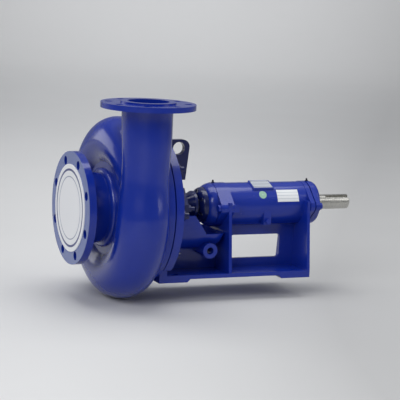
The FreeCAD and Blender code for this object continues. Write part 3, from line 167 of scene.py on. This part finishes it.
# Painted pool of light: painted shade towards the sides across the camera's heading, the pool widening with distance.
spread = wire(tree, "Mapping", {"Vector": where, "Rotation": (0, 0, camera_yaw)})
across = wire(tree, "SeparateXYZ", {"Vector": spread.outputs[0]})
away = wire(tree, "VectorMath", {0: where}, operation="LENGTH").outputs["Value"]
painted_pool_width = wire(tree, "MapRange", {"Value": away, "From Max": 9.0, "To Min": PAINTED_POOL_NEAR, "To Max": PAINTED_POOL_FAR})
side = wire(tree, "Math", {0: across.outputs["X"], 1: painted_pool_width.outputs["Result"]}, operation="DIVIDE")
side_squared = wire(tree, "Math", {0: side.outputs[0], 1: side.outputs[0]}, operation="MULTIPLY")
painted_side_shade = wire(tree, "MapRange", {"Value": side_squared.outputs[0], "To Min": 1.0, "To Max": SIDE_PAINTED_SHADE})
# Painted light: darker near the pump, lighter out to three metres.
painted_distance_light = wire(tree, "MapRange", {"Value": away, "From Max": 3.0, "To Min": NEAR_PAINTED_LIGHT, "To Max": FAR_PAINTED_LIGHT})
painted_light_tone = wire(tree, "Math", {0: painted_distance_light.outputs["Result"], 1: painted_side_shade.outputs["Result"]}, operation="MULTIPLY")
mottle_and_painted_light = wire(tree, "Math", {0: painted_light_tone.outputs[0], 1: grey.outputs["Result"]}, operation="MULTIPLY")
seen = wire(tree, "LightPath", {}).outputs["Is Camera Ray"]
# Painted glow: emission for camera rays only, growing with distance and fading with the painted side shade.
far_painted_glow = wire(tree, "MapRange", {"Value": away, "From Min": 1.0, "From Max": 9.0, "To Max": FAR_PAINTED_GLOW})
glow = wire(tree, "Math", {0: far_painted_glow.outputs["Result"], 1: painted_side_shade.outputs["Result"]}, operation="MULTIPLY")
painted_glow_seen = wire(tree, "Math", {0: glow.outputs[0], 1: seen}, operation="MULTIPLY")
set_shader(
    tree,
    shader,
    Base_Color=mottle_and_painted_light.outputs[0],
    Roughness=0.9,
    Specular_IOR_Level=0.1,
    Emission_Color=(1, 1, 1, 1),
    Emission_Strength=painted_glow_seen.outputs[0],
)

bowl = studio_bowl(cad_low.z - FLOOR_GAP)
bowl.data.materials.append(plaster)

LAMPS = (
    # name, place, aimed at, width, height, watts
    ("key_lamp", (-2.6, -2.6, 2.3), (0.2, 0, 0), 2.4, 2.0, 70),
    ("top_lamp", (0.4, 0.2, 3.0), (0.35, 0, 0), 3.2, 1.8, 60),
    ("drive_side_lamp", (3.0, -1.9, 1.4), (0.4, 0, 0), 1.6, 2.2, 22),
    ("left_rear_lamp", (-2.4, 3.2, 0.9), (0.2, 0, 0), 2.4, 1.8, 26),
)
for lamp_name, place, aim, width, height, watts in LAMPS:
    lamp = bpy.data.objects.new(lamp_name, bpy.data.lights.new(lamp_name, "AREA"))
    lamp.data.shape = "RECTANGLE"
    lamp.data.size = width
    lamp.data.size_y = height
    lamp.data.energy = watts
    lamp.location = place
    lamp.rotation_euler = (Vector(aim) - Vector(place)).to_track_quat("-Z", "Y").to_euler()
    bpy.context.scene.collection.objects.link(lamp)

world = bpy.data.worlds.new("studio_air")
world.use_nodes = True
world.node_tree.nodes["Background"].inputs["Color"].default_value = (0.8, 0.83, 0.88, 1)
world.node_tree.nodes["Background"].inputs["Strength"].default_value = 0.5
bpy.context.scene.world = world

# ---------------------------------------------------------------- volute casing
# Sand-cast iron, fettled, filled and sprayed with two coats of glossy royal-blue enamel.  The
# flange faces are machined and carry only a thin, greyer wash of the same paint.

ROYAL_BLUE = (0.004, 0.024, 0.300, 1)
WASHED_BLUE = (0.120, 0.165, 0.400, 1)


def enamel(name, colour, grain=1.0, gloss=0.2):
    """Sprayed enamel: sand-cast grain and slow waviness under it, orange peel and thin spots in it."""
    finish, tree, shader = fresh_finish(name)
    where = wire(tree, "TexCoord", {}).outputs["Object"]
    hills = wire(tree, "TexNoise", {"Vector": where, "Scale": 16.0, "Detail": 2.0})
    sand = wire(tree, "TexNoise", {"Vector": where, "Scale": 330.0, "Detail": 4.0, "Roughness": 0.6})
    peel = wire(tree, "TexNoise", {"Vector": where, "Scale": 150.0, "Detail": 1.0})
    slow = wire(tree, "Bump", {"Height": hills.outputs["Fac"], "Strength": 0.35 * grain, "Distance": 0.002})
    cast = wire(
        tree,
        "Bump",
        {"Height": sand.outputs["Fac"], "Strength": 0.28 * grain, "Distance": 0.0004, "Normal": slow.outputs[0]},
    )
    skin = wire(
        tree,
        "Bump",
        {"Height": peel.outputs["Fac"], "Strength": 0.25, "Distance": 0.0003, "Normal": cast.outputs[0]},
    )
    coat_depth = wire(tree, "TexNoise", {"Vector": where, "Scale": 7.0, "Detail": 5.0, "Roughness": 0.55})
    thick = tuple(0.86 * part for part in colour[:3]) + (1,)
    thin = tuple(min(1, 1.16 * part + 0.004) for part in colour[:3]) + (1,)
    shade = wire(
        tree,
        "Mix",
        {"Factor": coat_depth.outputs["Fac"], "A": thick, "B": thin},
        data_type="RGBA",
    )
    rub = wire(
        tree,
        "MapRange",
        {"Value": coat_depth.outputs["Fac"], "To Min": gloss - 0.05, "To Max": gloss + 0.13},
    )
    set_shader(
        tree,
        shader,
        Base_Color=shade.outputs["Result"],
        Roughness=rub.outputs["Result"],
        Normal=skin.outputs[0],
        Specular_IOR_Level=0.3,
        Coat_Weight=0.35,
        Coat_Roughness=0.1,
    )
    return finish, tree, shader, shade


def dress(finish, *names):
    """Give CAD nodes a finish in place of the plain one they came with."""
    for name in names:
        nodes[name].data.materials.clear()
        nodes[name].data.materials.append(finish)


casing_paint, tree, shader, shade = enamel("casing_enamel", ROYAL_BLUE)
where = wire(tree, "TexCoord", {}).outputs["Object"]
along = wire(tree, "SeparateXYZ", {"Vector": where}).outputs["X"]
on_face = wire(tree, "MapRange", {"Value": along, "From Min": 0.0012, "From Max": 0.0004})
washed = wire(
    tree,
    "Mix",
    {"Factor": on_face.outputs["Result"], "A": shade.outputs["Result"], "B": WASHED_BLUE},
    data_type="RGBA",
)
set_shader(tree, shader, Base_Color=washed.outputs["Result"])
dress(casing_paint, "volute_casing")

# ---------------------------------------------------------------- white disc on the suction face
# A printed plastic protection disc, held on the suction flange's face.  Plain rings only.

disc_low, disc_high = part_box("suction_face_cover")
disc_radius = disc_high.z

printed, tree, shader = fresh_finish("printed_disc")
where = wire(tree, "TexCoord", {}).outputs["Object"]
parts = wire(tree, "SeparateXYZ", {"Vector": where})
flat = wire(tree, "CombineXYZ", {"Y": parts.outputs["Y"], "Z": parts.outputs["Z"]})
radius = wire(tree, "VectorMath", {0: flat.outputs[0]}, operation="LENGTH").outputs["Value"]
rings = wire(tree, "ValToRGB", {"Fac": wire(tree, "Math", {0: radius, 1: disc_radius}, operation="DIVIDE").outputs[0]})
WHITE = (0.86, 0.87, 0.90, 1)
NAVY_INK = (0.035, 0.050, 0.200, 1)
GREY_INK = (0.300, 0.330, 0.450, 1)
stops = (
    (0.0, WHITE),
    (0.70, WHITE),
    (0.705, GREY_INK),
    (0.725, GREY_INK),
    (0.73, WHITE),
    (0.845, WHITE),
    (0.85, NAVY_INK),
    (0.895, NAVY_INK),
    (0.90, WHITE),
)
for number, (at, ink) in enumerate(stops):
    stop = rings.color_ramp.elements[number] if number < 2 else rings.color_ramp.elements.new(at)
    stop.position = at
    stop.color = ink
scuff = wire(tree, "TexNoise", {"Vector": where, "Scale": 90.0, "Detail": 6.0})
worn = wire(tree, "MapRange", {"Value": scuff.outputs["Fac"], "To Min": 0.22, "To Max": 0.42})
dent = wire(tree, "Bump", {"Height": scuff.outputs["Fac"], "Strength": 0.1, "Distance": 0.0004})
set_shader(
    tree,
    shader,
    Base_Color=rings.outputs["Color"],
    Roughness=worn.outputs["Result"],
    Normal=dent.outputs[0],
)
dress(printed, "suction_face_cover")

# ---------------------------------------------------------------- bearing frame and its covers
# One grey-iron casting, with its turned covers, in the same enamel as the casing but over a
# smoother skin.  Bolts and plug were painted over with it.

frame_paint, tree, shader, shade = enamel("frame_enamel", ROYAL_BLUE, grain=0.7)
dress(
    frame_paint,
    "bearing_pedestal",
    "front_bearing_cover",
    "rear_bearing_cover",
    "housing_drain_plug",
    "front_cover_bolts",
    "rear_cover_bolts",
)

# ---------------------------------------------------------------- lug, seal retainer and fasteners
# The lifting lug, the domed seal retainer and its bolts, the casing's studs and nuts, the gland parts
# and the flinger get the blue enamel darkened to a near-navy: painted shade for parts in shadow.

# Painted shade: a darker copy of the royal-blue enamel, standing for the shadow these parts sit in.
SHADED_BLUE = (0.003, 0.009, 0.090, 1)
shaded_blue_paint, tree, shader, shade = enamel("shaded_blue_enamel", SHADED_BLUE, grain=0.8)
dress(
    shaded_blue_paint,
    "lifting_lug",
    "front_seal_retainer",
    "retainer_bolts",
    "casing_studs",
    "casing_nuts",
    "gland_follower",
    "gland_studs",
    "gland_nuts",
    "shaft_flinger",
)

# ---------------------------------------------------------------- shaft
# Turned and ground steel, wiped with oil: fine rings round it.


def turned_metal(name, colour, roughness, lines=2600.0, cut=0.12):
    """Lathe-turned metal: fine rings round the X axis, rubbed patches and a little staining."""
    finish, tree, shader = fresh_finish(name)
    where = wire(tree, "TexCoord", {}).outputs["Object"]
    squeezed = wire(tree, "Mapping", {"Vector": where, "Scale": (lines, 40.0, 40.0)})
    rings = wire(tree, "TexNoise", {"Vector": squeezed.outputs[0], "Scale": 1.0, "Detail": 3.0})
    stain = wire(tree, "TexNoise", {"Vector": where, "Scale": 45.0, "Detail": 5.0})
    dull = tuple(0.72 * part for part in colour[:3]) + (1,)
    tint = wire(tree, "Mix", {"Factor": stain.outputs["Fac"], "A": colour, "B": dull}, data_type="RGBA")
    rub = wire(
        tree,
        "MapRange",
        {"Value": rings.outputs["Fac"], "To Min": roughness - 0.06, "To Max": roughness + 0.12},
    )
    groove = wire(tree, "Bump", {"Height": rings.outputs["Fac"], "Strength": cut, "Distance": 0.0002})
    set_shader(
        tree,
        shader,
        Base_Color=tint.outputs["Result"],
        Metallic=1.0,
        Roughness=rub.outputs["Result"],
        Normal=groove.outputs[0],
    )
    return finish


STEEL = (0.62, 0.61, 0.57, 1)
dress(turned_metal("turned_shaft_steel", STEEL, 0.24), "shaft", "impeller_nut", "impeller_key")
# The sleeve's steel is given a colour far darker than the shaft's.
dress(turned_metal("dark_sleeve_steel", (0.16, 0.16, 0.18, 1), 0.35), "shaft_sleeve")
dress(
    turned_metal("bearing_steel", (0.60, 0.61, 0.62, 1), 0.16, lines=900.0, cut=0.03),
    "front_bearing_inner_ring",
    "front_bearing_outer_ring",
    "front_rollers",
    "front_cage",
    "rear_bearing_inner_ring",
    "rear_bearing_outer_ring",
    "rear_balls",
    "rear_cage",
    "lock_washer",
    "bearing_lock_nut",
)
dress(turned_metal("nipple_steel", (0.07, 0.07, 0.08, 1), 0.4, lines=500.0), "grease_nipples")
dress(turned_metal("bush_bronze", (0.55, 0.38, 0.17, 1), 0.3, lines=900.0), "neck_bush", "lantern_ring")

# ---------------------------------------------------------------- rating plate
# A blank satin aluminium plate with ruled fields, on its cast pad with four drive rivets.

PLATE_TILT = math.radians(22)
PLATE_EDGE = 0.0032
RIVET_RADIUS = 0.0014

plate_low, plate_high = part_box("rating_plate")
plate_middle = (plate_low + plate_high) / 2
plate_length = plate_high.x - plate_low.x
plate_thickness = 0.001
plate_width = (plate_high.y - plate_low.y - plate_thickness * math.sin(PLATE_TILT)) / math.cos(PLATE_TILT)
plate_out = np.array((0, -math.sin(PLATE_TILT), math.cos(PLATE_TILT)))
plate_across = np.array((0, math.cos(PLATE_TILT), math.sin(PLATE_TILT)))

satin, tree, shader = fresh_finish("blank_plate")
where = wire(tree, "TexCoord", {}).outputs["Object"]
flat = wire(
    tree,
    "Mapping",
    {"Vector": where, "Location": tuple(plate_middle), "Rotation": (PLATE_TILT, 0, 0)},
    vector_type="TEXTURE",
)
parts = wire(tree, "SeparateXYZ", {"Vector": flat.outputs[0]})
row = wire(tree, "Math", {0: parts.outputs["Y"], 1: 0.0062}, operation="PINGPONG")
line = wire(tree, "MapRange", {"Value": row.outputs[0], "From Min": 0.0004, "From Max": 0.0006})
brushed = wire(tree, "Mapping", {"Vector": flat.outputs[0], "Scale": (60.0, 2200.0, 60.0)})
hair = wire(tree, "TexNoise", {"Vector": brushed.outputs[0], "Scale": 1.0, "Detail": 2.0})
ink = wire(
    tree,
    "Mix",
    {"Factor": line.outputs["Result"], "A": (0.10, 0.12, 0.20, 1), "B": (0.62, 0.65, 0.70, 1)},
    data_type="RGBA",
)
rub = wire(tree, "MapRange", {"Value": hair.outputs["Fac"], "To Min": 0.28, "To Max": 0.5})
set_shader(tree, shader, Base_Color=ink.outputs["Result"], Metallic=0.7, Roughness=rub.outputs["Result"])
dress(satin, "rating_plate")


def rivet_head(middle, out, across):
    """A low dome: radius times sin(lat), raised by half the radius times cos(lat), about its middle."""
    lat, turn = np.meshgrid(np.linspace(0.02, np.pi / 2, 7), np.linspace(0, 2 * np.pi, 16, endpoint=False))
    side = np.cross(out, across)
    flat = np.sin(lat)[..., None] * (np.cos(turn)[..., None] * across + np.sin(turn)[..., None] * side)
    return middle + RIVET_RADIUS * (flat + 0.55 * np.cos(lat)[..., None] * out)


rivet_steel = turned_metal("rivet_steel", (0.50, 0.50, 0.50, 1), 0.3, lines=400.0)
for number, (side_x, side_y) in enumerate(((-1, -1), (-1, 1), (1, -1), (1, 1))):
    middle = (
        np.array(plate_middle)
        + side_x * (plate_length / 2 - PLATE_EDGE) * np.array((1, 0, 0))
        + side_y * (plate_width / 2 - PLATE_EDGE) * plate_across
        + plate_thickness / 2 * plate_out
    )
    rivet = grid_mesh(f"plate_rivet_{number}", rivet_head(middle, plate_out, plate_across), close_u=True)
    rivet.data.materials.append(rivet_steel)
    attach(rivet, "frame")

# ---------------------------------------------------------------- labels stuck on the barrel
# A small round check label and a plain white data label, both blank, pressed on to the paint.

LABEL_LIFT = 0.00022
LABEL_THICKNESS = 0.0001
FLANGE_PROUD = 0.0012
barrel_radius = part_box("front_bearing_cover")[1].z - FLANGE_PROUD


def on_barrel(x, angle, lift):
    """A point on the barrel: x along it, angle from the top towards the nozzle's side."""
    reach = barrel_radius + lift
    return np.stack([x, -reach * np.sin(angle), reach * np.cos(angle)], axis=-1)


def label_paper(name, paper, band, middle, size):
    """Gloss paper with a printed band and faint air bubbles."""
    finish, tree, shader = fresh_finish(name)
    where = wire(tree, "TexCoord", {}).outputs["UV"]
    parts = wire(tree, "SeparateXYZ", {"Vector": where})
    row = wire(tree, "Math", {0: parts.outputs["Y"], 1: size}, operation="PINGPONG")
    print_line = wire(tree, "MapRange", {"Value": row.outputs[0], "From Min": middle, "From Max": middle * 1.4})
    tint = wire(tree, "Mix", {"Factor": print_line.outputs["Result"], "A": band, "B": paper}, data_type="RGBA")
    bubbles = wire(tree, "TexNoise", {"Vector": where, "Scale": 9.0, "Detail": 3.0})
    wave = wire(tree, "Bump", {"Height": bubbles.outputs["Fac"], "Strength": 0.25, "Distance": 0.0004})
    set_shader(tree, shader, Base_Color=tint.outputs["Result"], Roughness=0.35, Normal=wave.outputs[0])
    return finish


def lay_uv(piece, u, v):
    """Write one UV map from the grid's own two parameters."""
    flat = np.stack([u, v], axis=-1).reshape(-1, 2)
    corner = np.empty(len(piece.data.loops), dtype=np.int32)
    piece.data.loops.foreach_get("vertex_index", corner)
    layer = piece.data.uv_layers.new(name="UVMap")
    layer.data.foreach_set("uv", flat[corner].ravel())


def thicken(piece):
    """Give a sheet its thickness, inwards."""
    wall = piece.modifiers.new("thickness", "SOLIDIFY")
    wall.thickness = LABEL_THICKNESS
    wall.offset = -1


LABEL_X = plate_high.x + 0.009
LABEL_LENGTH = 0.061
u, v = np.meshgrid(np.linspace(0, 1, 40), np.linspace(0, 1, 26), indexing="ij")
curl = 0.0004 * (np.abs(2 * u - 1) * np.abs(2 * v - 1)) ** 6
data_label = grid_mesh(
    "data_label",
    on_barrel(LABEL_X + LABEL_LENGTH * u, np.radians(43 + 35 * v), LABEL_LIFT + curl),
)
lay_uv(data_label, u, v)
thicken(data_label)
data_label.data.materials.append(
    label_paper("white_label_paper", (0.80, 0.82, 0.84, 1), (0.42, 0.46, 0.52, 1), 0.012, 0.125)
)
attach(data_label, "frame")

CHECK_RADIUS = 0.0105
rho, turn = np.meshgrid(np.linspace(0.01, 1, 12), np.linspace(0, 2 * np.pi, 48, endpoint=False), indexing="ij")
check_x = plate_middle.x - 0.005 + CHECK_RADIUS * rho * np.cos(turn)
check_angle = math.radians(57) + CHECK_RADIUS * rho * np.sin(turn) / barrel_radius
check_label = grid_mesh("check_label", on_barrel(check_x, check_angle, LABEL_LIFT), close_v=True)
lay_uv(check_label, turn / (2 * np.pi), rho)
thicken(check_label)
check_label.data.materials.append(
    label_paper("green_label_paper", (0.33, 0.56, 0.42, 1), (0.62, 0.74, 0.66, 1), 0.10, 1.0)
)
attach(check_label, "frame")

# ---------------------------------------------------------------- parts inside the pump
# Impeller and stuffing box as cast, with packing, gaskets and seals of soft material.


def rough_casting(name, colour, roughness=0.6):
    """Bare or primed iron as cast: coarse sand grain, rust-brown and grey patches."""
    finish, tree, shader = fresh_finish(name)
    where = wire(tree, "TexCoord", {}).outputs["Object"]
    sand = wire(tree, "TexNoise", {"Vector": where, "Scale": 260.0, "Detail": 5.0, "Roughness": 0.65})
    patch = wire(tree, "TexNoise", {"Vector": where, "Scale": 22.0, "Detail": 6.0})
    warm = (colour[0] * 0.9 + 0.03, colour[1] * 0.8 + 0.012, colour[2] * 0.7 + 0.004, 1)
    tint = wire(tree, "Mix", {"Factor": patch.outputs["Fac"], "A": colour, "B": warm}, data_type="RGBA")
    grit = wire(tree, "Bump", {"Height": sand.outputs["Fac"], "Strength": 0.5, "Distance": 0.0006})
    rub = wire(tree, "MapRange", {"Value": sand.outputs["Fac"], "To Min": roughness - 0.1, "To Max": roughness + 0.2})
    set_shader(
        tree,
        shader,
        Base_Color=tint.outputs["Result"],
        Metallic=0.4,
        Roughness=rub.outputs["Result"],
        Normal=grit.outputs[0],
    )
    return finish


dress(rough_casting("white_iron", (0.33, 0.33, 0.34, 1), 0.45), "impeller")
dress(rough_casting("primed_iron", (0.016, 0.026, 0.100, 1), 0.5), "stuffing_box_cover")


def soft_stuff(name, colour, thread, roughness):
    """Rubber, fibre or braid: a fine crossed thread or grain that catches a little dust."""
    finish, tree, shader = fresh_finish(name)
    where = wire(tree, "TexCoord", {}).outputs["Object"]
    weave = wire(tree, "TexVoronoi", {"Vector": where, "Scale": thread})
    dust = wire(tree, "TexNoise", {"Vector": where, "Scale": 60.0, "Detail": 5.0})
    dusty = tuple(0.85 * part + 0.03 for part in colour[:3]) + (1,)
    tint = wire(tree, "Mix", {"Factor": dust.outputs["Fac"], "A": colour, "B": dusty}, data_type="RGBA")
    relief = wire(tree, "Bump", {"Height": weave.outputs["Distance"], "Strength": 0.4, "Distance": 0.0004})
    rub = wire(tree, "MapRange", {"Value": dust.outputs["Fac"], "To Min": roughness - 0.08, "To Max": roughness + 0.1})
    set_shader(
        tree,
        shader,
        Base_Color=tint.outputs["Result"],
        Roughness=rub.outputs["Result"],
        Normal=relief.outputs[0],
    )
    return finish


dress(soft_stuff("greased_braid", (0.30, 0.27, 0.20, 1), 500.0, 0.6), "packing_rings")
dress(soft_stuff("gasket_fibre", (0.20, 0.26, 0.24, 1), 900.0, 0.75), "casing_gasket", "sleeve_gasket")
dress(
    soft_stuff("nitrile_rubber", (0.025, 0.025, 0.027, 1), 300.0, 0.55),
    "front_lip_seal",
    "rear_lip_seal",
)
